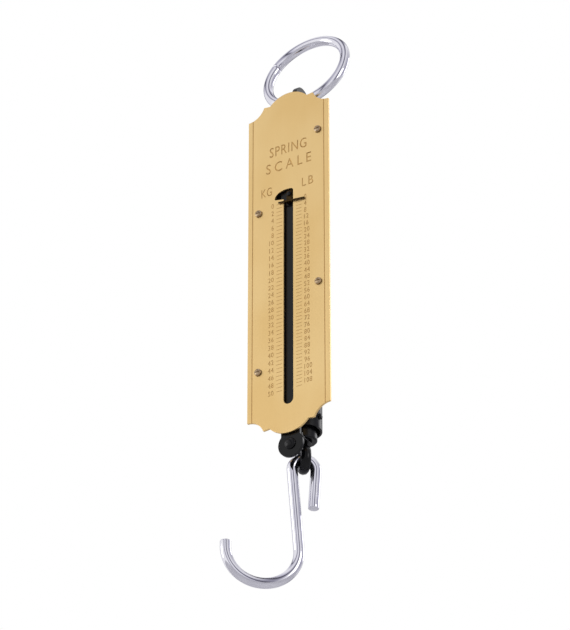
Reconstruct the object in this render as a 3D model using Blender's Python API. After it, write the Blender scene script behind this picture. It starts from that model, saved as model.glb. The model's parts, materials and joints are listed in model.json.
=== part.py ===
"""Hanging spring scale: a flat dial plate in front of a round spring tube.

The scale hangs from a split ring in the lug at its top. An extension spring hangs from the lug
inside the tube. The spring's lower end pulls up a draw tube, which slides out of the tube's mouth
under a load. A bracket under the draw tube takes the flat index bar with it, behind the slot in the
dial, and the bar takes the pointer. A swivel eye in the draw tube's closed end holds an S-hook.

Front view axes: +X right, +Z up, and the dial faces -Y. Lengths are in metres. The parts are laid
out from the middle of the dial's front face, and then shifted so that the world origin is at the
hanging point, which is the inside of the ring at its top.
"""
import math

import bmesh
import bpy
from mathutils import Matrix, Vector

MM = 0.001

# ---- driving dimensions, in metres -------------------------------------------------------------
GAP = 0.3 * MM                      # clearance kept between pieces that touch

PLATE_HALF_WIDTH = 20.0 * MM
PLATE_THICKNESS = 1.0 * MM
CORNER_HEIGHT = 74.1 * MM           # end of the straight side, above the middle
CUSP = Vector((12.25, 79.6)) * MM   # outer point of the scallop
NOTCH = Vector((9.2, 79.3)) * MM    # where the middle arch starts
ARCH_HEIGHT = 83.4 * MM             # top of the middle arch

SCALE_ZERO = 28.0 * MM              # height of the pointer with no load
SCALE_TRAVEL = 91.0 * MM            # pointer travel from no load to full load
SLOT_HALF_WIDTH = 2.35 * MM
SLOT_BOTTOM = -70.0 * MM
LEAF_TOP = Vector((-2.0, 35.1)) * MM # curve points of the slot's leaf-shaped opening
LEAF_SHOULDER = Vector((-5.9, 34.4)) * MM
LEAF_TIP = Vector((-6.9, 31.3)) * MM

POINTER_SPAN = (-4.6 * MM, 8.4 * MM) # left and right end of the pointer's cross bar
POINTER_TILT = math.radians(5.5)
POINTER_WIDTH = 0.7 * MM
POINTER_THICKNESS = 0.4 * MM
POINTER_FRONT = -0.8 * MM
POINTER_FOOT_THICKNESS = 0.5 * MM
POINTER_FOOT_TOP = 34.0 * MM
POINTER_RIVET_Z = 32.3 * MM
POINTER_RIVET_HOLE = 0.8 * MM

TUBE_AXIS = Vector((0, 12.5)) * MM  # upright axis of the tube, the spring and the draw tube
TUBE_RADIUS = 7.7 * MM
TUBE_WALL = 0.9 * MM
TUBE_SPAN = (-78.0 * MM, 77.5 * MM) # lower and upper end
TUBE_BORE = TUBE_RADIUS - TUBE_WALL

BAR_FRONT = 1.5 * MM                # front face of the index bar
BAR_THICKNESS = 1.4 * MM
BAR_HALF_WIDTH = 4.5 * MM
BAR_TOP = 36.0 * MM
BAR_DISC_Z = -88.0 * MM
BAR_DISC_RADIUS = 5.9 * MM
BAR_BACK = BAR_FRONT + BAR_THICKNESS

BACKING_FRONT = 3.3 * MM            # front face of the backing plate, behind the index bar
BACKING_THICKNESS = 1.2 * MM
BACKING_BACK = BACKING_FRONT + BACKING_THICKNESS
BACKING_HALF_WIDTH = 16.8 * MM
BACKING_HALF_LENGTH = 70.0 * MM

SCREW_X = 14.7 * MM
SCREW_PLACES = ((1, 59.8 * MM), (-1, 26.3 * MM), (1, -15.8 * MM), (-1, -51.3 * MM))
SCREW_HEAD_RADIUS = 1.65 * MM
SCREW_HEAD_HEIGHT = 0.8 * MM
SCREW_SHANK_RADIUS = 1.1 * MM
SCREW_HOLE = SCREW_SHANK_RADIUS + GAP
SCREW_LENGTH = 6.3 * MM
SPACER_RADIUS = 2.3 * MM

BAND_HEIGHTS = (("upper", 48.0 * MM), ("lower", -42.0 * MM))
BAND_HALF_WIDTH = 4.0 * MM
BAND_THICKNESS = 0.8 * MM
BAND_FOOT_X = 13.0 * MM             # outer end of a saddle band's foot
BAND_RIVET_X = 11.0 * MM
RIVET_HEAD = (1.45 * MM, 0.65 * MM) # radius and height
RIVET_SHANK = 0.6 * MM
RIVET_HOLE = RIVET_SHANK + GAP

PIVOT = Vector((0, 10.4, 84.0)) * MM # centre of the lug's hole
RING_RADIUS = 19.3 * MM             # centre line of the ring
RING_WIRE = 2.2 * MM                # radius of its wire
RING_LEAN = math.radians(15.5)      # the ring leans back from upright
RING_BUTT_ANGLE = math.radians(150) # place of the butt joint, from the ring's right side
RING_BUTT_GAP = 0.35 * MM

LUG_HALF_THICKNESS = 1.1 * MM
LUG_RADIUS = 5.4 * MM
LUG_HOLE_RADIUS = 2.7 * MM
LUG_ROUND_Z = 85.6 * MM             # centre of the lug's round end
LUG_NECK_HALF_WIDTH = 3.3 * MM
LUG_NECK_TOP = 79.0 * MM
LUG_SHOULDER_HALF_WIDTH = 5.4 * MM
LUG_SHOULDER = (71.4 * MM, 73.0 * MM)
LUG_FOOT_Z = 65.5 * MM
TOP_PLUG = (73.4 * MM, 77.2 * MM)   # lower and upper face
PIN_RADIUS = 1.25 * MM
PIN_Z = 68.2 * MM
PIN_RECESS = 0.1 * MM               # a pin's ends lie this far inside the piece that it crosses

SPRING_RADIUS = 4.4 * MM            # centre line of the coils
SPRING_WIRE = 0.95 * MM
SPRING_SPAN = (26.15 * MM, 62.15 * MM)
SPRING_TURNS = 17
NOSE_RADIUS = SPRING_RADIUS - SPRING_WIRE - GAP # of the plugs that the coils are screwed onto
NOSE_LENGTH = 7.0 * MM
ANCHOR_RADIUS = 5.2 * MM
ANCHOR_LENGTH = 7.6 * MM

DRAW_RADIUS = 5.6 * MM
DRAW_BORE = 4.7 * MM
DRAW_SPAN = (-82.6 * MM, 21.6 * MM) # closed lower end and open upper end
DRAW_FLOOR = 1.4 * MM
DRAW_PIN_Z = 17.0 * MM
FLANGE_RADIUS = 6.3 * MM            # of the spring plug, which is the stop at full load
FLANGE_THICKNESS = 3.0 * MM
SPIGOT_LENGTH = 8.0 * MM
BUSH = (-75.0 * MM, -70.0 * MM)     # lower and upper end of the guide bush

BRACKET_SHEET = 1.0 * MM
BRACKET_HALF_WIDTH = 4.5 * MM
BRACKET_TAB_HALF_WIDTH = 3.4 * MM
BRACKET_LOW = -91.0 * MM
BRACKET_FRONT = BAR_BACK + GAP
BRACKET_TOP = DRAW_SPAN[0] - GAP
BRACKET_RIVET = 1.3 * MM            # radius of its shank
BRACKET_RIVET_HOLE = BRACKET_RIVET + GAP

EYE_RADIUS = 4.5 * MM               # centre line of the swivel eye
EYE_RADIAL = 1.9 * MM               # half of the eye's bar, across and along the hole
EYE_AXIAL = 2.2 * MM
EYE_STEM_RADIUS = 1.3 * MM
EYE_HEAD_RADIUS = 2.3 * MM
EYE_HEAD_HEIGHT = 1.5 * MM
EYE_TOP = BRACKET_TOP - BRACKET_SHEET - GAP
EYE_Z = EYE_TOP - EYE_RADIAL - EYE_RADIUS # centre of the eye's hole

HOOK_WIRE = 2.3 * MM
HOOK_TURN = math.radians(42)        # turn of the eye's hole and the hook about the upright axis
HOOK_EYE_RADIUS = 5.0 * MM          # centre line of its small upper bend
HOOK_BOWL_RADIUS = 15.2 * MM
HOOK_BOWL_CENTRE = Vector((-17.4, -37.9)) * MM
HOOK_TIP_LENGTH = 2.5 * MM          # straight end of the bowl
HOOK_FREE_LEG = Vector((3.9, -17.4)) * MM

ROUND = 32                          # sides of a round piece
RIGHT = (1, 0, 0)
BACK = (0, 1, 0)
UP = (0, 0, 1)

RING_UPRIGHT = Vector((0, math.sin(RING_LEAN), math.cos(RING_LEAN)))
HANG_POINT = PIVOT + (2 * RING_RADIUS - RING_WIRE) * RING_UPRIGHT


# ---- small tools -------------------------------------------------------------------------------
def clear_scene():
    """Remove every object that the new file starts with."""
    for item in list(bpy.data.objects):
        bpy.data.objects.remove(item, do_unlink=True)


def make_material(name, colour, roughness, metallic):
    """A Principled material with a plain colour."""
    material = bpy.data.materials.new(name)
    material.use_nodes = True
    shader = material.node_tree.nodes["Principled BSDF"]
    shader.inputs["Base Color"].default_value = (*colour, 1)
    shader.inputs["Roughness"].default_value = roughness
    shader.inputs["Metallic"].default_value = metallic
    return material


def add_object(name, data, material, at=Vector()):
    """Put mesh or curve data into the scene under the hanging point's empty."""
    item = bpy.data.objects.new(name, data)
    bpy.context.scene.collection.objects.link(item)
    item.parent = frame_empty
    item.location = at
    if material is not None:
        data.materials.append(material)
    return item


def finish_mesh(bm, name):
    """Turn a bmesh into mesh data with outward faces and smooth round sides."""
    bmesh.ops.recalc_face_normals(bm, faces=bm.faces)
    mesh = bpy.data.meshes.new(name)
    bm.to_mesh(mesh)
    bm.free()
    mesh.shade_smooth()
    mesh.set_sharp_from_angle(angle=math.radians(40))
    return mesh


def box_mesh(name, low, high):
    """A box between two corners."""
    bm = bmesh.new()
    size = Vector(high) - Vector(low)
    middle = (Vector(high) + Vector(low)) / 2
    bmesh.ops.create_cube(bm, size=1, matrix=Matrix.Translation(middle) @ Matrix.Diagonal((*size, 1)))
    return finish_mesh(bm, name)


def prism_mesh(name, outline, direction):
    """Extrude a closed outline of 3-D points along a direction."""
    bm = bmesh.new()
    face = bm.faces.new([bm.verts.new(point) for point in outline])
    grown = bmesh.ops.extrude_face_region(bm, geom=[face])
    moved = [part for part in grown["geom"] if isinstance(part, bmesh.types.BMVert)]
    bmesh.ops.translate(bm, vec=direction, verts=moved)
    return finish_mesh(bm, name)


def turned_mesh(name, profile, start, axis, sides=ROUND):
    """Turn a profile of (radius, distance) points about an axis that begins at start."""
    bm = bmesh.new()
    axis = Vector(axis).normalized()
    across = axis.orthogonal().normalized()
    corners = [bm.verts.new(Vector(start) + across * radius + axis * along) for radius, along in profile]
    edges = [bm.edges.new(pair) for pair in zip(corners, corners[1:])]
    bmesh.ops.spin(bm, geom=corners + edges, cent=start, axis=axis, angle=math.tau, steps=sides,
                   use_merge=True, use_duplicate=False)
    bmesh.ops.remove_doubles(bm, verts=bm.verts, dist=1e-7)
    return finish_mesh(bm, name)


def cylinder_mesh(name, radius, start, axis, length, sides=ROUND):
    """A plain cylinder from start along axis."""
    return turned_mesh(name, [(0, 0), (radius, 0), (radius, length), (0, length)], start, axis, sides)


def wire_curve(name, points, radius, closed=False, resolution=3):
    """Round wire along a row of points, with flat ends."""
    curve = bpy.data.curves.new(name, "CURVE")
    curve.dimensions = "3D"
    curve.bevel_depth = radius
    curve.bevel_resolution = resolution
    curve.use_fill_caps = True
    spline = curve.splines.new("POLY")
    spline.points.add(len(points) - 1)
    for target, point in zip(spline.points, points):
        target.co = (*point, 1)
    spline.use_cyclic_u = closed
    spline.use_smooth = True
    return curve


def boolean(target, cutter_mesh, operation="DIFFERENCE"):
    """Cut a helper shape out of an object, or join it on."""
    cutter = add_object(cutter_mesh.name, cutter_mesh, None)
    cutter.hide_render = True
    cutter.display_type = "WIRE"
    modifier = target.modifiers.new(cutter_mesh.name, "BOOLEAN")
    modifier.operation = operation
    modifier.solver = "EXACT"
    modifier.object = cutter


def drill(target, name, radius, start, axis, length, sides=16):
    """Cuts a round hole from start along axis."""
    boolean(target, cylinder_mesh(name, radius, start, axis, length, sides))


def arc(centre, radius, start_deg, end_deg, steps):
    """Points of an arc in a plane, ends included."""
    turns = (math.radians(start_deg + (end_deg - start_deg) * i / steps) for i in range(steps + 1))
    return [Vector(centre) + radius * Vector((math.cos(turn), math.sin(turn))) for turn in turns]


def angle_of(point, centre):
    """Direction of a point from a centre, in degrees."""
    return math.degrees(math.atan2(point[1] - centre[1], point[0] - centre[0]))


def facing(points, y):
    """Flat (x, z) points, placed in the plane at depth y."""
    return [Vector((x, y, z)) for x, z in points]


def level(points, z):
    """Flat (x, y) points, placed at height z."""
    return [Vector((x, y, z)) for x, y in points]


def rivet_mesh(name, start, axis, shank_radius, head_radius, lengths):
    """A rivet with a domed head at start. lengths are the head's, the shank's and the tail's."""
    head, shank, tail = lengths
    profile = [(head_radius * math.sin(turn), head * (1 - math.cos(turn)))
               for turn in (math.radians(angle) for angle in (0, 30, 60, 90))]
    profile += [(shank_radius, head), (shank_radius, head + shank)]
    profile += [(head_radius, head + shank), (head_radius * 0.7, head + shank + tail)]
    profile += [(0, head + shank + tail)]
    return turned_mesh(name, profile, start, axis, 14)


def small_rivet(length):
    """Profile of a small rivet, from the top of its low domed head to the end of its shank."""
    radius, height = RIVET_HEAD
    profile = [(0, 0), (radius * 0.75, height * 0.3), (radius, height), (RIVET_SHANK, height)]
    return profile + [(RIVET_SHANK, length), (0, length)]


# ---- dial plate and casing ---------------------------------------------------------------------
def plate_outline():
    """The dial plate's outline: straight sides, and each end two scallops and an arch."""
    scallop_radius = ((PLATE_HALF_WIDTH - CUSP.x) ** 2 + (CUSP.y - CORNER_HEIGHT) ** 2)
    scallop_radius /= 2 * (CUSP.y - CORNER_HEIGHT)
    scallop_centre = Vector((PLATE_HALF_WIDTH, CORNER_HEIGHT + scallop_radius))
    rise = ARCH_HEIGHT - NOTCH.y
    arch_radius = (NOTCH.x ** 2 + rise ** 2) / (2 * rise)
    arch_centre = Vector((0, ARCH_HEIGHT - arch_radius))
    cusp_angle = angle_of(CUSP, scallop_centre)
    notch_angle = angle_of(NOTCH, arch_centre)
    if cusp_angle > 0:
        cusp_angle -= 360
    half_top = arc(scallop_centre, scallop_radius, -90, cusp_angle, 10)
    half_top += arc(arch_centre, arch_radius, notch_angle, 90, 12)
    top = half_top + [Vector((-x, z)) for x, z in reversed(half_top[:-1])]
    return top + [Vector((x, -z)) for x, z in reversed(top)]


def slot_outline():
    """The pointer's slot: a round lower end and a leaf-shaped opening at its upper left."""
    round_z = SLOT_BOTTOM + SLOT_HALF_WIDTH
    outline = arc((0, round_z), SLOT_HALF_WIDTH, -180, 0, 12)
    outline += arc((SLOT_HALF_WIDTH - 1.2 * MM, 33.2 * MM), 1.2 * MM, 0, 80, 4)
    leaf_start = outline[-2]
    for i in range(1, 9):
        t = i / 8
        start = (1 - t) ** 3 * leaf_start + 3 * (1 - t) ** 2 * t * LEAF_TOP
        outline.append(start + 3 * (1 - t) * t ** 2 * LEAF_SHOULDER + t ** 3 * LEAF_TIP)
    outline.append(Vector((-6.3, 30.6)) * MM)
    outline.append(Vector((-SLOT_HALF_WIDTH, 29.9 * MM)))
    return outline


def face_plate():
    """The engraved dial, with its slot and four screw holes."""
    sheet = prism_mesh("face_plate", facing(plate_outline(), 0), (0, PLATE_THICKNESS, 0))
    plate = add_object("face_plate", sheet, brass)
    depth = PLATE_THICKNESS + 2 * MM
    boolean(plate, prism_mesh("slot_cutter", facing(slot_outline(), -MM), (0, depth, 0)))
    for number, (side, z) in enumerate(SCREW_PLACES, 1):
        drill(plate, f"plate_hole_{number}", SCREW_HOLE, (side * SCREW_X, -MM, z), BACK, depth)


def on_axis(z):
    """A point on the upright axis of the tube."""
    return Vector((*TUBE_AXIS, z))


def hollow_profile(outer, inner, length):
    """Closed profile of a plain hollow cylinder."""
    return [(inner, 0), (outer, 0), (outer, length), (inner, length), (inner, 0)]


def backing_plate():
    """The flat plate behind the index bar. It joins the dial to the tube."""
    low = (-BACKING_HALF_WIDTH, BACKING_FRONT, -BACKING_HALF_LENGTH)
    high = (BACKING_HALF_WIDTH, BACKING_BACK, BACKING_HALF_LENGTH)
    plate = add_object("backing_plate", box_mesh("backing_plate", low, high), black_enamel)
    for number, (side, z) in enumerate(SCREW_PLACES, 1):
        drill(plate, f"backing_hole_{number}", SCREW_HOLE, (side * SCREW_X, 0, z), BACK, 8 * MM)
    for name, z in BAND_HEIGHTS:
        for side in (-1, 1):
            place = (side * BAND_RIVET_X, 0, z)
            drill(plate, f"{name}_band_hole_{side}", RIVET_HOLE, place, BACK, 8 * MM)


def casing_tube():
    """The round steel tube that holds the spring, open at both ends."""
    low, high = TUBE_SPAN
    profile = hollow_profile(TUBE_RADIUS, TUBE_BORE, high - low)
    tube = turned_mesh("casing_tube", profile, on_axis(low), UP, 40)
    tube = add_object("casing_tube", tube, black_enamel)
    for name, z in (("plug_rivet_hole", sum(TOP_PLUG) / 2), ("bush_rivet_hole", sum(BUSH) / 2)):
        drill(tube, name, RIVET_HOLE, (-20 * MM, TUBE_AXIS.y, z), RIGHT, 40 * MM)


def saddle_bands():
    """Two strap saddles round the tube, each riveted through its feet to the backing plate."""
    inner = TUBE_RADIUS + GAP
    outer = inner + BAND_THICKNESS
    foot_front = BACKING_BACK + GAP
    foot_back = foot_front + BAND_THICKNESS
    outline = [Vector((BAND_FOOT_X, foot_front)), Vector((BAND_FOOT_X, foot_back))]
    outline += [Vector((outer, foot_back))] + arc(TUBE_AXIS, outer, 0, 180, 20)
    outline += [Vector((-outer, foot_back)), Vector((-BAND_FOOT_X, foot_back))]
    outline += [Vector((-BAND_FOOT_X, foot_front)), Vector((-inner, foot_front))]
    outline += arc(TUBE_AXIS, inner, 180, 0, 20) + [Vector((inner, foot_front))]
    through = foot_back - BACKING_FRONT + 2 * GAP
    for name, z in BAND_HEIGHTS:
        low_edge = level(outline, z - BAND_HALF_WIDTH)
        band = prism_mesh(f"saddle_band_{name}", low_edge, (0, 0, 2 * BAND_HALF_WIDTH))
        band = add_object(band.name, band, black_enamel)
        for side, word in ((-1, "left"), (1, "right")):
            place = (side * BAND_RIVET_X, foot_back + GAP + RIVET_HEAD[1], z)
            drill(band, f"{name}_foot_hole_{side}", RIVET_HOLE, place, (0, -1, 0), 4 * MM)
            rivet = rivet_mesh(f"saddle_rivet_{name}_{word}", place, (0, -1, 0), RIVET_SHANK,
                               RIVET_HEAD[0], (RIVET_HEAD[1], through, 0.5 * MM))
            add_object(rivet.name, rivet, bright_steel)


def side_rivets(name, z):
    """Two short rivets through the tube's sides, into the piece inside it."""
    for side, word in ((-1, "left"), (1, "right")):
        start = (side * (TUBE_RADIUS + GAP + RIVET_HEAD[1]), TUBE_AXIS.y, z)
        rivet = turned_mesh(f"{name}_{word}", small_rivet(2.2 * MM), start, (-side, 0, 0), 16)
        add_object(rivet.name, rivet, black_enamel)


def top_plug():
    """The round plug that closes the tube's top. The lug stands up through its slot."""
    low, high = TOP_PLUG
    middle = (low + high) / 2
    plug = cylinder_mesh("top_plug", TUBE_BORE - GAP, on_axis(low), UP, high - low)
    plug = add_object("top_plug", plug, black_enamel)
    wide = LUG_NECK_HALF_WIDTH + GAP
    thick = LUG_HALF_THICKNESS + GAP
    boolean(plug, box_mesh("lug_slot", (-thick, TUBE_AXIS.y - wide, low - MM),
                           (thick, TUBE_AXIS.y + wide, high + MM)))
    for side in (-1, 1):
        start = (side * 8 * MM, TUBE_AXIS.y, middle)
        drill(plug, f"plug_hole_{side}", RIVET_HOLE, start, (-side, 0, 0), 3.2 * MM)
    side_rivets("plug_rivet", middle)


def guide_bush():
    """The thin blackened bush in the tube's mouth, which the draw tube slides through."""
    low, high = BUSH
    middle = (low + high) / 2
    profile = hollow_profile(TUBE_BORE - GAP, DRAW_RADIUS + GAP, high - low)
    bush = turned_mesh("guide_bush", profile, on_axis(low), UP)
    bush = add_object("guide_bush", bush, black_enamel)
    drill(bush, "bush_hole", RIVET_HOLE, (-10 * MM, TUBE_AXIS.y, middle), RIGHT, 20 * MM)
    side_rivets("bush_rivet", middle)


def face_screws():
    """Four small slotted screws and their round spacers, which hold the dial to the backing plate."""
    for number, (side, z) in enumerate(SCREW_PLACES, 1):
        front = -GAP - SCREW_HEAD_HEIGHT
        profile = [(0, 0), (SCREW_HEAD_RADIUS * 0.6, 0.08 * MM), (SCREW_HEAD_RADIUS * 0.92, 0.35 * MM)]
        profile += [(SCREW_HEAD_RADIUS, SCREW_HEAD_HEIGHT), (SCREW_SHANK_RADIUS, SCREW_HEAD_HEIGHT)]
        profile += [(SCREW_SHANK_RADIUS, SCREW_LENGTH - 0.5 * MM)]
        profile += [(SCREW_SHANK_RADIUS * 0.6, SCREW_LENGTH), (0, SCREW_LENGTH)]
        place = (side * SCREW_X, front, z)
        screw = turned_mesh(f"face_screw_{number}", profile, place, BACK, 20)
        screw = add_object(screw.name, screw, bright_steel)
        boolean(screw, box_mesh(f"screw_slot_{number}",
                                (place[0] - 2 * MM, front - MM, z - 0.25 * MM),
                                (place[0] + 2 * MM, front + 0.4 * MM, z + 0.25 * MM)))
        spacer_front = PLATE_THICKNESS + GAP
        ring = hollow_profile(SPACER_RADIUS, SCREW_HOLE, BACKING_FRONT - GAP - spacer_front)
        spacer = turned_mesh(f"spacer_{number}", ring, (side * SCREW_X, spacer_front, z), BACK, 20)
        add_object(spacer.name, spacer, zinc_steel)


# ---- hanging ring, lug and spring --------------------------------------------------------------
def hanging_ring():
    """A split ring of round wire through the lug, leaning back. Its butt joint is at the left."""
    half_gap = RING_BUTT_GAP / 2 / RING_RADIUS
    steps = 64
    centre = PIVOT + RING_RADIUS * RING_UPRIGHT
    points = []
    for i in range(steps + 1):
        turn = RING_BUTT_ANGLE + half_gap + (math.tau - 2 * half_gap) * i / steps
        out = math.cos(turn) * Vector(RIGHT) + math.sin(turn) * RING_UPRIGHT
        points.append(centre + RING_RADIUS * out)
    add_object("hanging_ring", wire_curve("hanging_ring", points, RING_WIRE), chrome)


def hanging_lug():
    """A flat steel lug on edge: round head with the ring's hole, neck, shoulders and pinned foot."""
    axis_y = TUBE_AXIS.y
    neck = LUG_NECK_HALF_WIDTH
    shoulder = LUG_SHOULDER_HALF_WIDTH
    low, high = LUG_SHOULDER
    outline = arc((PIVOT.y, LUG_ROUND_Z), LUG_RADIUS, 0, 180, 18)
    outline += [Vector((PIVOT.y - LUG_RADIUS, PIVOT.z - MM)), Vector((axis_y - neck, LUG_NECK_TOP))]
    half = [(neck, high), (shoulder, high), (shoulder, low), (neck, low), (neck, LUG_FOOT_Z)]
    outline += [Vector((axis_y - y, z)) for y, z in half]
    outline += [Vector((axis_y + y, z)) for y, z in reversed(half)]
    outline += [Vector((axis_y + neck, LUG_NECK_TOP))]
    flat = [Vector((-LUG_HALF_THICKNESS, y, z)) for y, z in outline]
    lug = prism_mesh("hanging_lug", flat, (2 * LUG_HALF_THICKNESS, 0, 0))
    lug = add_object("hanging_lug", lug, black_enamel)
    holes = (("ring_hole", LUG_HOLE_RADIUS, PIVOT.yz), ("pin_hole", PIN_RADIUS + GAP, (axis_y, PIN_Z)))
    for name, radius, (y, z) in holes:
        drill(lug, name, radius, (-3 * MM, y, z), RIGHT, 6 * MM, 24)


def cross_hole(target, name, z):
    """Drills a turned piece from side to side for a cross pin."""
    drill(target, name, PIN_RADIUS + GAP, (-8 * MM, TUBE_AXIS.y, z), RIGHT, 16 * MM, 20)


def cross_pin(name, z, half_length):
    """A plain pin from side to side through the upright axis."""
    start = (-half_length, TUBE_AXIS.y, z)
    pin = cylinder_mesh(name, PIN_RADIUS, start, RIGHT, 2 * half_length, 16)
    add_object(name, pin, bright_steel)


def spring_anchor():
    """The turned block that the spring hangs from, slotted for the lug and pinned to it."""
    base = SPRING_SPAN[1] + SPRING_WIRE + GAP
    profile = [(0, 0), (NOSE_RADIUS * 0.8, 0), (NOSE_RADIUS, 0.6 * MM), (NOSE_RADIUS, NOSE_LENGTH)]
    profile += [(ANCHOR_RADIUS, NOSE_LENGTH), (ANCHOR_RADIUS, NOSE_LENGTH + ANCHOR_LENGTH)]
    profile += [(0, NOSE_LENGTH + ANCHOR_LENGTH)]
    anchor = turned_mesh("spring_anchor", profile, on_axis(base - NOSE_LENGTH), UP)
    anchor = add_object("spring_anchor", anchor, zinc_steel)
    thick = LUG_HALF_THICKNESS + GAP
    boolean(anchor, box_mesh("anchor_slot", (-thick, 0, LUG_FOOT_Z - GAP), (thick, 25 * MM, PIN_Z + 6 * MM)))
    cross_hole(anchor, "anchor_pin_hole", PIN_Z)
    cross_pin("lug_pin", PIN_Z, ANCHOR_RADIUS - PIN_RECESS)


def spring():
    """The close-wound extension spring, screwed onto the anchor above and the spring plug below."""
    steps_per_turn = 12
    count = SPRING_TURNS * steps_per_turn
    low, high = SPRING_SPAN
    points = []
    for i in range(count + 1):
        turn = math.tau * i / steps_per_turn
        around = SPRING_RADIUS * Vector((math.cos(turn), math.sin(turn), 0))
        points.append(on_axis(low + (high - low) * i / count) + around)
    add_object("spring", wire_curve("spring", points, SPRING_WIRE, resolution=1), zinc_steel)


# ---- draw tube -----------------------------------------------------------------------------------
def draw_tube():
    """The tube that slides out under a load. Its closed lower end has a hole for the eye's stem."""
    low, high = DRAW_SPAN
    length = high - low
    hole = EYE_STEM_RADIUS + GAP
    profile = [(hole, 0), (DRAW_RADIUS - 0.6 * MM, 0), (DRAW_RADIUS, 0.6 * MM), (DRAW_RADIUS, length)]
    profile += [(DRAW_BORE, length), (DRAW_BORE, DRAW_FLOOR), (hole, DRAW_FLOOR), (hole, 0)]
    tube = add_object("draw_tube", turned_mesh("draw_tube", profile, on_axis(low), UP), black_enamel)
    cross_hole(tube, "draw_pin_hole", DRAW_PIN_Z)


def spring_plug():
    """The turned plug between the spring and the draw tube. Its flange meets the bush at full load."""
    flange_low = DRAW_SPAN[1] + GAP
    start = flange_low - SPIGOT_LENGTH
    nose_low = SPIGOT_LENGTH + FLANGE_THICKNESS
    spigot = DRAW_BORE - GAP
    profile = [(0, 0), (spigot, 0), (spigot, SPIGOT_LENGTH), (FLANGE_RADIUS, SPIGOT_LENGTH)]
    profile += [(FLANGE_RADIUS, nose_low), (NOSE_RADIUS, nose_low)]
    profile += [(NOSE_RADIUS, nose_low + NOSE_LENGTH), (0, nose_low + NOSE_LENGTH)]
    plug = add_object("spring_plug", turned_mesh("spring_plug", profile, on_axis(start), UP), zinc_steel)
    cross_hole(plug, "plug_pin_hole", DRAW_PIN_Z)
    cross_pin("draw_pin", DRAW_PIN_Z, DRAW_RADIUS - PIN_RECESS)


# ---- index bar and what it carries --------------------------------------------------------------
def index_bar():
    """The flat bar behind the slot, ending below the dial in a round end."""
    half = BAR_HALF_WIDTH
    join = math.degrees(math.acos(half / BAR_DISC_RADIUS))
    outline = [(half, BAR_TOP - 1.5 * MM), (half - 1.5 * MM, BAR_TOP), (-half + 1.5 * MM, BAR_TOP)]
    outline += [(-half, BAR_TOP - 1.5 * MM)]
    outline += arc((0, BAR_DISC_Z), BAR_DISC_RADIUS, 180 - join, 360 + join, 28)
    bar = prism_mesh("index_bar", facing(outline, BAR_FRONT), (0, BAR_THICKNESS, 0))
    bar = add_object("index_bar", bar, black_enamel)
    drill(bar, "bar_rivet_hole", BRACKET_RIVET_HOLE, (0, 0, BAR_DISC_Z), BACK, 6 * MM)
    drill(bar, "pointer_rivet_hole", POINTER_RIVET_HOLE, (0, 0, POINTER_RIVET_Z), BACK, 6 * MM)


def pointer():
    """The brass pointer: a fine cross bar in front of the dial, its stem and its riveted foot."""
    slope = math.tan(POINTER_TILT)
    left, right = POINTER_SPAN
    low = SCALE_ZERO - POINTER_WIDTH / 2
    high = low + POINTER_WIDTH
    outline = [(left, low - slope * left), (right, low - slope * right)]
    outline += [(right, high - slope * right), (left, high - slope * left)]
    bar = prism_mesh("pointer", facing(outline, POINTER_FRONT), (0, POINTER_THICKNESS, 0))
    bar = add_object("pointer", bar, dark_brass)
    foot_back = BAR_FRONT - GAP
    foot_front = foot_back - POINTER_FOOT_THICKNESS
    stem = box_mesh("pointer_stem", (-1.0 * MM, POINTER_FRONT, SCALE_ZERO - 0.3 * MM),
                    (1.0 * MM, foot_back, SCALE_ZERO + 0.3 * MM))
    boolean(bar, stem, "UNION")
    foot = box_mesh("pointer_foot", (-1.3 * MM, foot_front, SCALE_ZERO - 0.2 * MM),
                    (1.3 * MM, foot_back, POINTER_FOOT_TOP))
    boolean(bar, foot, "UNION")
    drill(bar, "foot_rivet_hole", POINTER_RIVET_HOLE, (0, 0, POINTER_RIVET_Z), BACK, 6 * MM)
    head_front = foot_front - GAP - 0.5 * MM
    profile = [(0, 0), (0.8 * MM, 0.12 * MM), (1.15 * MM, 0.5 * MM), (0.5 * MM, 0.5 * MM)]
    profile += [(0.5 * MM, 2.6 * MM), (0, 2.6 * MM)]
    rivet = turned_mesh("pointer_rivet", profile, (0, head_front, POINTER_RIVET_Z), BACK, 16)
    add_object("pointer_rivet", rivet, black_enamel)


def link_bracket():
    """The bent bracket behind the index bar's round end. Its tab lies under the draw tube's end."""
    half = BRACKET_HALF_WIDTH
    back = BRACKET_FRONT + BRACKET_SHEET
    upright = box_mesh("link_bracket", (-half, BRACKET_FRONT, BRACKET_LOW), (half, back, BRACKET_TOP))
    bracket = add_object("link_bracket", upright, black_enamel)
    tab = BRACKET_TAB_HALF_WIDTH
    outline = [Vector((tab, BRACKET_FRONT + 0.1 * MM))] + arc(TUBE_AXIS, tab, 0, 180, 14)
    outline += [Vector((-tab, BRACKET_FRONT + 0.1 * MM))]
    under = level(outline, BRACKET_TOP - BRACKET_SHEET)
    boolean(bracket, prism_mesh("bracket_tab", under, (0, 0, BRACKET_SHEET)), "UNION")
    drill(bracket, "tab_hole", EYE_STEM_RADIUS + GAP, on_axis(BRACKET_TOP - 3 * MM), UP, 6 * MM, 20)
    drill(bracket, "bracket_rivet_hole", BRACKET_RIVET_HOLE, (0, 0, BAR_DISC_Z), BACK, 8 * MM, 20)
    head = 1.1 * MM
    through = BAR_THICKNESS + BRACKET_SHEET + 3 * GAP
    start = (0, BAR_FRONT - GAP - head, BAR_DISC_Z)
    rivet = rivet_mesh("bracket_rivet", start, BACK, BRACKET_RIVET, 2 * BRACKET_RIVET, (head, through, MM))
    add_object("bracket_rivet", rivet, black_enamel)


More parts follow.
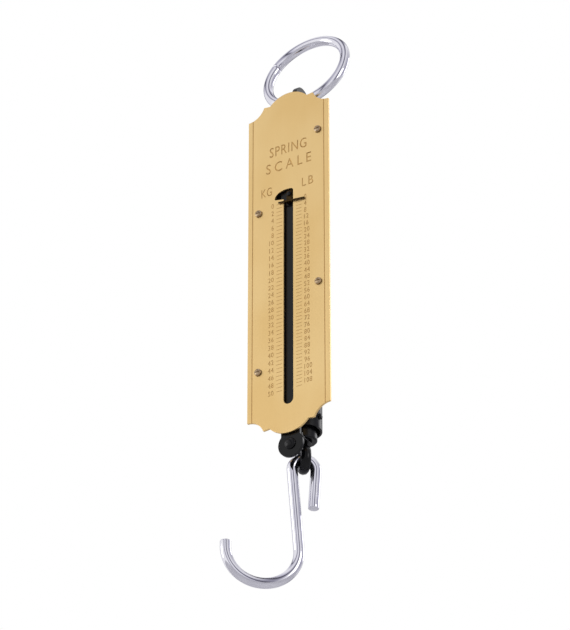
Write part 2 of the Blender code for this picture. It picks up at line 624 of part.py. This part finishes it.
# ---- eye and hook --------------------------------------------------------------------------------
def hook_eye():
    """The forged swivel eye: a ring with an upright stem, riveted over inside the draw tube."""
    bm = bmesh.new()
    rings, sides = 24, 10
    hole_axis = Vector((math.cos(HOOK_TURN), math.sin(HOOK_TURN), 0))
    across = Vector((-hole_axis.y, hole_axis.x, 0))
    loops = []
    for i in range(rings):
        turn = math.tau * i / rings
        out = math.cos(turn) * across + Vector((0, 0, math.sin(turn)))
        loop = []
        for j in range(sides):
            lean = math.tau * j / sides
            outward = out * (EYE_RADIUS + EYE_RADIAL * math.cos(lean))
            sideways = hole_axis * (EYE_AXIAL * math.sin(lean))
            loop.append(bm.verts.new(on_axis(EYE_Z) + outward + sideways))
        loops.append(loop)
    for loop, following in zip(loops, loops[1:] + loops[:1]):
        for j in range(sides):
            k = (j + 1) % sides
            bm.faces.new((loop[j], loop[k], following[k], following[j]))
    eye = add_object("hook_eye", finish_mesh(bm, "hook_eye"), black_enamel)
    base = EYE_Z + EYE_RADIUS
    head = DRAW_SPAN[0] + DRAW_FLOOR + GAP - base
    profile = [(0, 0), (EYE_STEM_RADIUS, 0), (EYE_STEM_RADIUS, head), (EYE_HEAD_RADIUS, head)]
    profile += [(EYE_HEAD_RADIUS, head + EYE_HEAD_HEIGHT / 2)]
    profile += [(EYE_HEAD_RADIUS * 0.6, head + EYE_HEAD_HEIGHT), (0, head + EYE_HEAD_HEIGHT)]
    boolean(eye, turned_mesh("eye_stem", profile, on_axis(base), UP, 20), "UNION")


def hook_path():
    """Centre line of the S-hook in its own plane, from the free end to the bowl's tip."""
    radius = HOOK_EYE_RADIUS
    lean = math.degrees(math.atan2(radius - HOOK_FREE_LEG.x, -HOOK_FREE_LEG.y))
    bend_start = -lean
    start = radius * Vector((math.cos(math.radians(bend_start)), math.sin(math.radians(bend_start))))
    path = [HOOK_FREE_LEG.lerp(start, i / 6) for i in range(6)]
    shank_lean = 4.6
    path += arc((0, 0), radius, bend_start, 180 + shank_lean, 18)
    bowl_start = shank_lean
    bowl = arc(HOOK_BOWL_CENTRE, HOOK_BOWL_RADIUS, bowl_start, -180, 34)
    corner = path[-1]
    path += [corner.lerp(bowl[0], i / 10) for i in range(1, 10)]
    return path + bowl + [bowl[-1] + Vector((0, HOOK_TIP_LENGTH * i / 2)) for i in (1, 2)]


def s_hook():
    """The S-hook of round wire. Its small bend goes through the eye."""
    sideways = Vector((math.cos(HOOK_TURN), math.sin(HOOK_TURN), 0))
    pivot = on_axis(EYE_Z - HOOK_EYE_RADIUS)
    points = [pivot + sideways * x + Vector((0, 0, z)) for x, z in hook_path()]
    add_object("s_hook", wire_curve("s_hook", points, HOOK_WIRE), chrome)


# ---- the object --------------------------------------------------------------------------------
clear_scene()
frame_empty = bpy.data.objects.new("hanging_point", None)
bpy.context.scene.collection.objects.link(frame_empty)
frame_empty.location = -HANG_POINT

brass = make_material("satin_brass", (0.72, 0.52, 0.26), 0.35, 0.9)
dark_brass = make_material("dark_brass", (0.35, 0.24, 0.10), 0.4, 0.9)
black_enamel = make_material("black_enamel", (0.02, 0.02, 0.022), 0.25, 0.0)
chrome = make_material("chrome_plate", (0.85, 0.85, 0.88), 0.08, 1.0)
bright_steel = make_material("bright_steel", (0.6, 0.59, 0.56), 0.3, 1.0)
zinc_steel = make_material("zinc_plated_steel", (0.5, 0.51, 0.53), 0.35, 1.0)

face_plate()
backing_plate()
casing_tube()
saddle_bands()
face_screws()
top_plug()
guide_bush()
hanging_ring()
hanging_lug()
spring_anchor()
spring()
draw_tube()
spring_plug()
index_bar()
pointer()
link_bracket()
hook_eye()
s_hook()
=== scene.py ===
"""The finished look of a hanging spring scale: stamped brass dial, black enamelled tube, chrome hook."""
import json
import math

import bmesh
import bpy
from mathutils import Matrix, Vector


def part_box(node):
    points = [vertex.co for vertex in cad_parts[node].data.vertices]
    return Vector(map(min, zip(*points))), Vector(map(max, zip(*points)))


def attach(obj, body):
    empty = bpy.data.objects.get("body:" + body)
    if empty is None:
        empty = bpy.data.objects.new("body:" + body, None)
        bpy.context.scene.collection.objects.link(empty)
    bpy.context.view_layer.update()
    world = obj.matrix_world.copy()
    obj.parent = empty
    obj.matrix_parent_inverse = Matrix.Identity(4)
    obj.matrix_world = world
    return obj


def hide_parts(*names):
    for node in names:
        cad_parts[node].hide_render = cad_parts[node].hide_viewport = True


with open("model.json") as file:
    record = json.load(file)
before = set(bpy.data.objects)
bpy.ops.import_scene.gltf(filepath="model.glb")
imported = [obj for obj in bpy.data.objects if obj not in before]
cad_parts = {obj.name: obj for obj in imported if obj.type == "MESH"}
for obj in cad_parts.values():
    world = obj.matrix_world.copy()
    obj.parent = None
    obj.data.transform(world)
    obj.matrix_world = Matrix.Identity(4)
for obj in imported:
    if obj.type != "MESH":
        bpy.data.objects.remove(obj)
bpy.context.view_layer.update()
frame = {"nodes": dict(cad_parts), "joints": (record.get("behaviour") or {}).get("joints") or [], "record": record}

MM = 0.001

# ---- places taken from the frame -----------------------------------------------------------------
joints = {joint["name"]: joint for joint in frame["joints"]}
bodies = frame["record"]["behaviour"]["bodies"]
body_of_node = {node: body for body, nodes in bodies.items() for node in nodes}
slot_of_node = {part["node"]: part["material_slot"] for part in frame["record"]["subparts"]}

plate_low, plate_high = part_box("face_plate")
# middle of the dial's front face
DIAL = Vector(((plate_low.x + plate_high.x) / 2, plate_low.y, (plate_low.z + plate_high.z) / 2))

RING_PIVOT = Vector(joints["ring_swing"]["pos_m"])
RING_WIRE = 2.2 * MM                       # radius of the ring's wire
RING_RADIUS = (RING_PIVOT.length + RING_WIRE) / 2
RING_BUTT = math.radians(150)              # place of the butt joint round the ring
RING_BUTT_GAP = 0.35 * MM

HOOK_PIVOT = Vector(joints["hook_swing"]["pos_m"])
HOOK_NORMAL = Vector(joints["hook_swing"]["axis"])
HOOK_WIRE = 2.3 * MM                       # radius of the hook's wire
HOOK_BEND = 5.0 * MM                       # centre line of the bend in the eye
HOOK_BOWL = 15.2 * MM                      # centre line of the bowl
HOOK_BOWL_CENTRE = Vector((-17.4, -37.9)) * MM
HOOK_TIP = 2.5 * MM                        # straight end after the bowl
HOOK_FREE_LEG = Vector((3.9, -17.4)) * MM
HOOK_SHANK_LEAN = 4.6                      # degrees from upright
WIRE_ROUNDNESS = 8                         # the curve's bevel resolution
WIRE_END_EASING = 0.35 * MM

# ---- the dial's markings, from the middle of its front face ---------------------------------------
SCALE_ZERO = 28.0 * MM
SCALE_TRAVEL = 91.0 * MM
KILOGRAMS = 50
POUNDS = 110
STAMP_DEPTH = 0.1 * MM
STAMP_LIFT = 0.3 * MM                      # how far the stamp stands off the face before it goes in
TICK_WIDTH = 0.18 * MM
KILOGRAM_TICK = (-5.8 * MM, -3.0 * MM)
POUND_TICK = (3.8 * MM, 6.6 * MM)
NUMERAL_HEIGHT = 2.3 * MM
NUMERAL_WIDTH = 0.8                        # of a numeral, as a share of the letter's own width
NUMERAL_GAPS = (1.4 * MM, 1.2 * MM)        # from the kilogram ticks and from the pound ticks
LETTER_SPACING = 1.12
STAMP_MERGE_DISTANCE = 0.001 * MM
DIAL_EASING = 0.16 * MM                    # rounding of the dial's edges
DIAL_SMOOTH_ANGLE = 25
GROOVE_X = 17.7 * MM
GROOVE_WIDTH = 0.4 * MM
# words, left end, right end, baseline and cap height in millimetres, and letter spacing
WORDS = (("SPRING", -9.3, 9.1, 52.8, 4.9, LETTER_SPACING), ("SCALE", -11.0, 11.4, 44.8, 4.9, 1.5),
         ("KG", -13.4, -8.2, 33.7, 4.2, LETTER_SPACING), ("LB", 6.8, 12.4, 33.4, 4.2, 1.3))


# ---- materials -------------------------------------------------------------------------------------
def linear(code):
    """A hex sRGB colour as linear RGBA."""
    parts = [int(code[i:i + 2], 16) / 255 for i in (0, 2, 4)]
    return [part / 12.92 if part <= 0.04045 else ((part + 0.055) / 1.055) ** 2.4 for part in parts] + [1]


def set_inputs(material, node, inputs):
    """Set a node's inputs. Each is a value, a socket, or a node whose first output feeds it."""
    for name, value in inputs.items():
        if isinstance(value, bpy.types.Node):
            value = value.outputs[0]
        if isinstance(value, bpy.types.NodeSocket):
            material.node_tree.links.new(value, node.inputs[name])
        else:
            node.inputs[name].default_value = value


def add_node(material, kind, inputs=None, stops=(), **settings):
    """Add a node with its settings, its inputs and, on a ramp, its stops: places and hex colours."""
    node = material.node_tree.nodes.new(kind)
    for name, value in settings.items():
        setattr(node, name, value)
    set_inputs(material, node, inputs or {})
    if stops:
        elements = node.color_ramp.elements
        while len(elements) < len(stops):
            elements.new(0.5)
        for element, (place, code) in zip(elements, stops):
            element.position = place
            element.color = linear(code)
    return node


def new_material(name):
    """A new material, its shader, and the object coordinates that its patterns follow."""
    material = bpy.data.materials.new(name)
    material.use_nodes = True
    place = add_node(material, "ShaderNodeTexCoord").outputs["Object"]
    return material, material.node_tree.nodes["Principled BSDF"], place


def per_metre(size):
    """Scale of a pattern of this size in millimetres."""
    return 1 / (size * MM)


def two_tones(first, second):
    """Stops of a ramp that blends two colours over the middle of a noise."""
    return ((0.35, first), (0.65, second))


# most of a noise lies in this range
NOISE_RANGE = {"From Min": 0.3, "From Max": 0.7}


def brushed_lacquered_brass():
    """Cold-rolled brass sheet, brushed along its length and lacquered: satin, with faint long streaks."""
    material, shader, place = new_material("brushed lacquered brass")
    # brushing lines 0.25 mm apart, coarser than real ones so that they show, and some 60 mm long
    stretch = add_node(material, "ShaderNodeMapping",
                       {"Vector": place, "Scale": [per_metre(size) for size in (0.25, 0.25, 62.5)]})
    lines = add_node(material, "ShaderNodeTexNoise", {"Vector": stretch, "Scale": 1.0, "Detail": 4.0})
    # clouds some 25 mm wide and 40 mm tall in the lacquer
    drift = add_node(material, "ShaderNodeMapping",
                     {"Vector": place, "Scale": [per_metre(size) for size in (25, 25, 40)]})
    cloud = add_node(material, "ShaderNodeTexNoise", {"Vector": drift, "Scale": 1.0, "Detail": 2.0})
    tones = add_node(material, "ShaderNodeValToRGB", {"Fac": cloud}, two_tones("E6C384", "ECCC90"))
    dullness = add_node(material, "ShaderNodeMapRange",
                        {**NOISE_RANGE, "Value": lines, "To Min": 0.36, "To Max": 0.42})
    relief = add_node(material, "ShaderNodeBump", {"Height": lines, "Distance": 0.002 * MM, "Strength": 1.0})
    set_inputs(material, shader, {"Metallic": 1.0, "Base Color": tones, "Roughness": dullness,
                                  "Normal": relief})
    return material


def stamped_brass():
    """The floor of the stamped marks: the same brass, duller, and darker as painted shade in the recesses."""
    material, shader, place = new_material("stamped brass recess painted shade")
    recess_mottle = add_node(material, "ShaderNodeTexNoise",
                     {"Vector": place, "Scale": per_metre(10 / 9), "Detail": 3.0})
    # painted shade: the recess brass is darker than the face's brass, to stand for shade down in the stamped marks
    tones = add_node(material, "ShaderNodeValToRGB", {"Fac": recess_mottle}, two_tones("C49A5C", "D4AE72"))
    dullness = add_node(material, "ShaderNodeMapRange",
                        {**NOISE_RANGE, "Value": recess_mottle, "To Min": 0.45, "To Max": 0.6})
    set_inputs(material, shader, {"Metallic": 1.0, "Base Color": tones, "Roughness": dullness})
    return material


def tarnished_brass():
    """Thin hard brass strip, dark brown as on the pointer: partly tarnish, and partly painted shade for the shade
    on the pointer's edge and on its foot down in the slot.
    """
    material, shader, place = new_material("tarnished brass strip with painted shade")
    tarnish_and_shade = add_node(material, "ShaderNodeTexNoise",
                       {"Vector": place, "Scale": per_metre(5 / 6), "Detail": 3.0})
    # painted shade: these browns are darker than tarnish alone, to stand for the shade on the pointer's edge and
    # its foot in the slot
    tones = add_node(material, "ShaderNodeValToRGB", {"Fac": tarnish_and_shade}, two_tones("2C2212", "4A391F"))
    dullness = add_node(material, "ShaderNodeMapRange",
                        {**NOISE_RANGE, "Value": tarnish_and_shade, "To Min": 0.36, "To Max": 0.52})
    set_inputs(material, shader, {"Metallic": 1.0, "Base Color": tones, "Roughness": dullness})
    return material


def stoved_black_enamel():
    """Black stoving enamel on steel: deep gloss with slight orange peel and a dull film of handling."""
    material, shader, place = new_material("stoved black enamel")
    peel = add_node(material, "ShaderNodeTexNoise",
                    {"Vector": place, "Scale": per_metre(10 / 7), "Detail": 1.0})
    # patches of the film are some 11 mm wide and 17 mm tall
    patches = add_node(material, "ShaderNodeMapping",
                       {"Vector": place, "Scale": [per_metre(size) for size in (100 / 9, 100 / 9, 50 / 3)]})
    film = add_node(material, "ShaderNodeTexNoise", {"Vector": patches, "Scale": 1.0, "Detail": 3.0})
    tones = add_node(material, "ShaderNodeValToRGB", {"Fac": film}, two_tones("0A0A0C", "101013"))
    dullness = add_node(material, "ShaderNodeMapRange",
                        {**NOISE_RANGE, "Value": film, "To Min": 0.16, "To Max": 0.3})
    relief = add_node(material, "ShaderNodeBump", {"Height": peel, "Distance": 0.02 * MM, "Strength": 1.0})
    set_inputs(material, shader, {"Specular IOR Level": 0.22, "Base Color": tones, "Roughness": dullness,
                                  "Normal": relief})
    return material


def polished_chrome():
    """Bright chrome plate over drawn wire: a hard mirror with a faint waviness and haze."""
    material, shader, place = new_material("polished chrome plate")
    haze = add_node(material, "ShaderNodeTexNoise",
                    {"Vector": place, "Scale": per_metre(20 / 3), "Detail": 3.0})
    tones = add_node(material, "ShaderNodeValToRGB", {"Fac": haze}, two_tones("DCDBE4", "E6E5EC"))
    dullness = add_node(material, "ShaderNodeMapRange",
                        {**NOISE_RANGE, "Value": haze, "To Min": 0.05, "To Max": 0.12})
    relief = add_node(material, "ShaderNodeBump", {"Height": haze, "Distance": 0.008 * MM, "Strength": 1.0})
    set_inputs(material, shader, {"Metallic": 1.0, "Base Color": tones, "Roughness": dullness,
                                  "Normal": relief})
    return material


def bright_steel():
    """Bare turned steel screws and rivets: bright, with a brown tinge that goes from patch to patch."""
    material, shader, place = new_material("bright turned steel")
    stain = add_node(material, "ShaderNodeTexNoise",
                     {"Vector": place, "Scale": per_metre(2 / 3), "Detail": 3.0})
    tones = add_node(material, "ShaderNodeValToRGB", {"Fac": stain}, two_tones("9C8466", "C2AC8E"))
    dullness = add_node(material, "ShaderNodeMapRange",
                        {**NOISE_RANGE, "Value": stain, "To Min": 0.22, "To Max": 0.4})
    set_inputs(material, shader, {"Metallic": 1.0, "Base Color": tones, "Roughness": dullness})
    return material


def zinc_plate():
    """Zinc plate on steel: blue-grey, and cloudy from its bright dip."""
    material, shader, place = new_material("zinc plated steel")
    spangle = add_node(material, "ShaderNodeTexNoise",
                       {"Vector": place, "Scale": per_metre(2), "Detail": 3.0})
    tones = add_node(material, "ShaderNodeValToRGB", {"Fac": spangle}, two_tones("9EA3AB", "B9BDC2"))
    dullness = add_node(material, "ShaderNodeMapRange",
                        {**NOISE_RANGE, "Value": spangle, "To Min": 0.3, "To Max": 0.45})
    set_inputs(material, shader, {"Metallic": 1.0, "Base Color": tones, "Roughness": dullness})
    return material


def studio_floor():
    """Matt pale paper floor, with clouds a third of a metre wide."""
    material, shader, place = new_material("pale paper floor")
    clouds = add_node(material, "ShaderNodeTexNoise",
                      {"Vector": place, "Scale": per_metre(1000 / 3), "Detail": 3.0})
    tones = add_node(material, "ShaderNodeValToRGB", {"Fac": clouds}, two_tones("E4E4E4", "E8E8E8"))
    set_inputs(material, shader, {"Base Color": tones, "Roughness": 0.9})
    return material


BRASS = brushed_lacquered_brass()
SHADED_RECESS = stamped_brass()
FINISHES = {
    "satin_brass": BRASS,
    "dark_brass": tarnished_brass(),
    "black_enamel": stoved_black_enamel(),
    "chrome_plate": polished_chrome(),
    "bright_steel": bright_steel(),
    "zinc_plated_steel": zinc_plate(),
}


# ---- making pieces -----------------------------------------------------------------------------------
MERGE_DISTANCE = 0.002 * MM
FLAT_ANGLE = math.radians(0.5)             # faces that meet at less than this are one flat face
EASED_ANGLE = math.radians(38)             # edges sharper than this are rounded over
WIRE_RIM_ANGLE = math.radians(60)


def piece_from(mesh, name, node, material):
    """Put a finished mesh in the place of a CAD node, on the node's body."""
    mesh.name = name
    mesh.materials.clear()
    mesh.materials.append(material)
    piece = bpy.data.objects.new(name, mesh)
    bpy.context.scene.collection.objects.link(piece)
    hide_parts(node)
    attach(piece, body_of_node[node])
    return piece


def smooth(mesh, angle=35):
    """Shade a mesh smooth but for its sharp edges. Flat faces stay flat up to their rounded rims."""
    mesh.shade_smooth()
    mesh.set_sharp_from_angle(angle=math.radians(angle))
    holder = bpy.data.objects.new("holder", mesh)
    bpy.context.scene.collection.objects.link(holder)
    weigh = holder.modifiers.new("weigh", "WEIGHTED_NORMAL")
    weigh.keep_sharp = True
    weigh.weight = 100
    graph = bpy.context.evaluated_depsgraph_get()
    finished = bpy.data.meshes.new_from_object(holder.evaluated_get(graph))
    bpy.data.objects.remove(holder)
    return finished


def rims(bm, angle):
    """The edges whose faces meet at more than an angle."""
    return [edge for edge in bm.edges if edge.is_manifold and edge.calc_face_angle() > angle]


def eased_copy(node, width):
    """A merged copy of a CAD node's mesh, with its sharp edges rounded over."""
    bm = bmesh.new()
    bm.from_mesh(frame["nodes"][node].data)
    bmesh.ops.remove_doubles(bm, verts=bm.verts, dist=MERGE_DISTANCE)
    bmesh.ops.dissolve_limit(bm, angle_limit=FLAT_ANGLE, verts=bm.verts, edges=bm.edges)
    bmesh.ops.bevel(bm, geom=rims(bm, EASED_ANGLE), offset=width, segments=2, profile=0.5,
                    affect="EDGES", material=-1, clamp_overlap=True)
    mesh = bpy.data.meshes.new(node)
    bm.to_mesh(mesh)
    bm.free()
    return mesh


def wire_mesh(points, radius):
    """Round wire along a row of points, with its ends eased."""
    curve = bpy.data.curves.new("wire", "CURVE")
    curve.dimensions = "3D"
    curve.bevel_depth = radius
    curve.bevel_resolution = WIRE_ROUNDNESS
    curve.use_fill_caps = True
    spline = curve.splines.new("POLY")
    spline.points.add(len(points) - 1)
    for target, point in zip(spline.points, points):
        target.co = (*point, 1)
    holder = bpy.data.objects.new("wire", curve)
    mesh = bpy.data.meshes.new_from_object(holder)
    bpy.data.objects.remove(holder)
    bm = bmesh.new()
    bm.from_mesh(mesh)
    bmesh.ops.remove_doubles(bm, verts=bm.verts, dist=MERGE_DISTANCE)
    bmesh.ops.bevel(bm, geom=rims(bm, WIRE_RIM_ANGLE), offset=WIRE_END_EASING, segments=3, profile=0.5,
                    affect="EDGES", material=-1)
    bmesh.ops.recalc_face_normals(bm, faces=bm.faces)
    bm.to_mesh(mesh)
    bm.free()
    return smooth(mesh)


def arc(centre, radius, start, end, steps):
    """Points of an arc in a plane. Angles are in degrees."""
    turns = (math.radians(start + (end - start) * i / steps) for i in range(steps + 1))
    return [centre + radius * Vector((math.cos(turn), math.sin(turn))) for turn in turns]


# ---- the dial's stamp ----------------------------------------------------------------------------------
def stamp_bar(bm, low_x, high_x, z, height):
    """A bar of the stamp, with its middle at height z."""
    size = Vector((high_x - low_x, STAMP_LIFT + STAMP_DEPTH, height))
    middle = DIAL + Vector(((low_x + high_x) / 2, (STAMP_DEPTH - STAMP_LIFT) / 2, z))
    bmesh.ops.create_cube(bm, size=1, matrix=Matrix.Translation(middle) @ Matrix.Diagonal((*size, 1)))


def stamp_text(bm, text, left, right, baseline, height, spacing=LETTER_SPACING):
    """Letters of the stamp, fitted between two ends. With one end only they have a numeral's width."""
    curve = bpy.data.curves.new("letters", "FONT")
    curve.body = text
    curve.extrude = 0.5                    # each way, so the letters are 1 deep before they are scaled
    curve.resolution_u = 3
    curve.space_character = spacing
    holder = bpy.data.objects.new("letters", curve)
    mesh = bpy.data.meshes.new_from_object(holder)
    bpy.data.objects.remove(holder)
    xs = [vertex.co.x for vertex in mesh.vertices]
    ys = [vertex.co.y for vertex in mesh.vertices]
    tall = height / (max(ys) - min(ys))
    span = max(xs) - min(xs)
    fitted = left is not None and right is not None
    wide = (right - left) / span if fitted else tall * NUMERAL_WIDTH
    start = left if left is not None else right - wide * span
    deep = STAMP_LIFT + STAMP_DEPTH
    place = Matrix.Translation(DIAL + Vector((start, (STAMP_DEPTH - STAMP_LIFT) / 2, baseline)))
    place = place @ Matrix.Rotation(math.radians(90), 4, "X") @ Matrix.Diagonal((wide, tall, deep, 1))
    mesh.transform(place @ Matrix.Translation((-min(xs), -min(ys), 0)))
    bm.from_mesh(mesh)


def scale_height(value, full):
    """Height of a value on a scale that runs down to full."""
    return SCALE_ZERO - SCALE_TRAVEL * value / full


def dial_stamp():
    """Everything that is pressed into the dial: border grooves, titles, ticks and numerals."""
    bm = bmesh.new()
    groove_length = plate_high.z - plate_low.z + 2 * MM
    for middle in (-GROOVE_X, GROOVE_X):
        stamp_bar(bm, middle - GROOVE_WIDTH / 2, middle + GROOVE_WIDTH / 2, 0, groove_length)
    for text, left, right, baseline, height, spacing in WORDS:
        stamp_text(bm, text, left * MM, right * MM, baseline * MM, height * MM, spacing)
    for value in range(KILOGRAMS + 1):
        z = scale_height(value, KILOGRAMS)
        stamp_bar(bm, *KILOGRAM_TICK, z, TICK_WIDTH)
        if value % 2 == 0:
            right = KILOGRAM_TICK[0] - NUMERAL_GAPS[0]
            stamp_text(bm, str(value), None, right, z - NUMERAL_HEIGHT / 2, NUMERAL_HEIGHT)
    for value in range(0, POUNDS + 1, 2):
        z = scale_height(value, POUNDS)
        stamp_bar(bm, *POUND_TICK, z, TICK_WIDTH)
        if value % 4 == 0:
            left = POUND_TICK[1] + NUMERAL_GAPS[1]
            stamp_text(bm, str(value), left, None, z - NUMERAL_HEIGHT / 2, NUMERAL_HEIGHT)
    bmesh.ops.remove_doubles(bm, verts=bm.verts, dist=STAMP_MERGE_DISTANCE)
    bmesh.ops.recalc_face_normals(bm, faces=bm.faces)
    mesh = bpy.data.meshes.new("dial_stamp")
    bm.to_mesh(mesh)
    bm.free()
    return mesh


def dial_plate():
    """The brass dial with its marks stamped in."""
    dial = piece_from(eased_copy("face_plate", DIAL_EASING), "dial_plate", "face_plate", BRASS)
    stamp = bpy.data.objects.new("dial_stamp", dial_stamp())
    # the stamp's faces carry the darker recess brass, which is painted shade
    stamp.data.materials.append(SHADED_RECESS)
    bpy.context.scene.collection.objects.link(stamp)
    cut = dial.modifiers.new("stamp", "BOOLEAN")
    cut.operation = "DIFFERENCE"
    cut.solver = "EXACT"
    cut.material_mode = "TRANSFER"
    cut.object = stamp
    graph = bpy.context.evaluated_depsgraph_get()
    mesh = bpy.data.meshes.new_from_object(dial.evaluated_get(graph))
    dial.modifiers.clear()
    dial.data = smooth(mesh, DIAL_SMOOTH_ANGLE)
    dial.data.name = "dial_plate"
    bpy.data.objects.remove(stamp)


# ---- ring and hook -------------------------------------------------------------------------------------
RING_STEPS = 160
BEND_STEPS = 48
BOWL_STEPS = 80
LEG_STEPS = 12
SHANK_STEPS = 20
TIP_STEPS = 3


def hanging_ring():
    """The chromed split ring through the lug."""
    right = Vector((1, 0, 0))
    upright = -RING_PIVOT.normalized()
    centre = RING_PIVOT + RING_RADIUS * upright
    half_gap = RING_BUTT_GAP / 2 / RING_RADIUS
    points = []
    for i in range(RING_STEPS + 1):
        turn = RING_BUTT + half_gap + (math.tau - 2 * half_gap) * i / RING_STEPS
        points.append(centre + RING_RADIUS * (math.cos(turn) * right + math.sin(turn) * upright))
    piece_from(wire_mesh(points, RING_WIRE), "ring_wire", "hanging_ring", FINISHES["chrome_plate"])


def s_hook():
    """The chromed S-hook, from its free end round the eye to the bowl's tip."""
    lean = math.degrees(math.atan2(HOOK_BEND - HOOK_FREE_LEG.x, -HOOK_FREE_LEG.y))
    bend = arc(Vector((0, 0)), HOOK_BEND, -lean, 180 + HOOK_SHANK_LEAN, BEND_STEPS)
    bowl = arc(HOOK_BOWL_CENTRE, HOOK_BOWL, HOOK_SHANK_LEAN, -180, BOWL_STEPS)
    path = [HOOK_FREE_LEG.lerp(bend[0], i / LEG_STEPS) for i in range(LEG_STEPS)] + bend
    path += [bend[-1].lerp(bowl[0], i / SHANK_STEPS) for i in range(1, SHANK_STEPS)] + bowl
    path += [bowl[-1] + Vector((0, HOOK_TIP * i / TIP_STEPS)) for i in range(1, TIP_STEPS + 1)]
    sideways = Vector((HOOK_NORMAL.y, -HOOK_NORMAL.x, 0))
    points = [HOOK_PIVOT + sideways * across + Vector((0, 0, up)) for across, up in path]
    piece_from(wire_mesh(points, HOOK_WIRE), "hook_wire", "s_hook", FINISHES["chrome_plate"])


# ---- the rest of the scale ----------------------------------------------------------------------------
# rounding of a sub-part's edges, where it isn't the default
EASING = {"casing_tube": 0.2 * MM, "backing_plate": 0.2 * MM, "draw_tube": 0.15 * MM, "index_bar": 0.25 * MM,
          "hanging_lug": 0.4 * MM, "link_bracket": 0.2 * MM}
DEFAULT_EASING = 0.08 * MM


def eased_pieces():
    """Every other sub-part, with its edges rounded over and its own finish."""
    for node in sorted(body_of_node):
        if node in ("face_plate", "hanging_ring", "s_hook"):
            continue
        mesh = smooth(eased_copy(node, EASING.get(node, DEFAULT_EASING)))
        piece_from(mesh, f"{node}_finished", node, FINISHES[slot_of_node[node]])


# ---- studio --------------------------------------------------------------------------------------------
FLOOR_Z = -1.6
FLOOR_SIZE = 12
CAMERA_TURN = math.radians(31.03)          # to the right of the dial's front
CAMERA_RISE = math.radians(-30.0)
CAMERA_DISTANCE = 1.568
CAMERA_LENS = 234.5
SENSOR_WIDTH = 36
# the dial's middle lies this far right of the view's middle, and above it
DIAL_OFFSET = (1.4 * MM, 24.1 * MM)
# name, place, size and power of each soft box
SOFT_BOXES = (("key", (-1.9, -1.3, 0.3), 0.9, 5), ("side", (1.9, -0.3, 0.2), 0.8, 5),
              ("back", (0.9, 1.8, 0.8), 1.0, 6))
ROOM_ACROSS = (0.82, 0.49, 0.3)            # the direction that the room's panels follow each other in
# place along it, from 0 to 1, and colour
ROOM_PANELS = ((0.0, "FFFFFF"), (0.24, "FFFFFF"), (0.31, "D8D7E2"), (0.34, "34333C"), (0.37, "C0BFCC"),
               (0.5, "FFFFFF"), (0.62, "CCCBD8"), (0.68, "2A2932"), (0.73, "A3A2B0"), (0.8, "FFFFFF"),
               (1.0, "B4B3C0"))


def aim(item, place, target):
    """Put something at a place and turn it towards a target."""
    item.location = place
    item.rotation_euler = (target - place).to_track_quat("-Z", "Y").to_euler()


def soft_light(name, place, size, power):
    """A large square soft box aimed at the scale."""
    light = bpy.data.lights.new(name, "AREA")
    light.size = size
    light.energy = power
    item = bpy.data.objects.new(name, light)
    bpy.context.scene.collection.objects.link(item)
    aim(item, Vector(place), DIAL)


def floor():
    """A wide pale floor, well below the hanging scale and the camera."""
    bm = bmesh.new()
    bmesh.ops.create_grid(bm, x_segments=1, y_segments=1, size=FLOOR_SIZE,
                          matrix=Matrix.Translation((0, 0, FLOOR_Z)))
    mesh = bpy.data.meshes.new("floor")
    bm.to_mesh(mesh)
    bm.free()
    mesh.materials.append(studio_floor())
    item = bpy.data.objects.new("floor", mesh)
    bpy.context.scene.collection.objects.link(item)


def surroundings():
    """A white room. Dark upright gaps between its panels show in reflections, and streak the chrome."""
    world = bpy.data.worlds.new("studio")
    bpy.context.scene.world = world
    world.use_nodes = True
    place = add_node(world, "ShaderNodeTexCoord")
    across = add_node(world, "ShaderNodeVectorMath", {0: place.outputs["Generated"], 1: ROOM_ACROSS},
                      operation="DOT_PRODUCT")
    along = add_node(world, "ShaderNodeMapRange", {"Value": across.outputs["Value"], "From Min": -1.0})
    panels = add_node(world, "ShaderNodeValToRGB", {"Fac": along}, ROOM_PANELS)
    ray = add_node(world, "ShaderNodeLightPath")
    seen = add_node(world, "ShaderNodeMixRGB",
                    {"Fac": ray.outputs["Is Camera Ray"], "Color1": panels, "Color2": linear("FFFFFF")})
    set_inputs(world, world.node_tree.nodes["Background"], {"Color": seen, "Strength": 1.0})


def camera():
    """A long lens that looks up at the scale from the right."""
    back = Vector((math.sin(CAMERA_TURN) * math.cos(CAMERA_RISE),
                   -math.cos(CAMERA_TURN) * math.cos(CAMERA_RISE), math.sin(CAMERA_RISE)))
    right = Vector((math.cos(CAMERA_TURN), math.sin(CAMERA_TURN), 0))
    up = back.cross(right)
    data = bpy.data.cameras.new("camera")
    data.sensor_width = SENSOR_WIDTH
    data.sensor_fit = "HORIZONTAL"
    data.lens = CAMERA_LENS
    data.clip_start = 0.05
    item = bpy.data.objects.new("camera", data)
    bpy.context.scene.collection.objects.link(item)
    aside, above = DIAL_OFFSET
    place = DIAL + CAMERA_DISTANCE * back - aside * right - above * up
    turn = Matrix((right, up, back)).transposed().to_4x4()
    item.matrix_world = Matrix.Translation(place) @ turn
    bpy.context.scene.camera = item


bpy.context.scene.view_settings.view_transform = "Standard"
camera()
floor()
surroundings()
for soft_box in SOFT_BOXES:
    soft_light(*soft_box)
dial_plate()
hanging_ring()
s_hook()
eased_pieces()
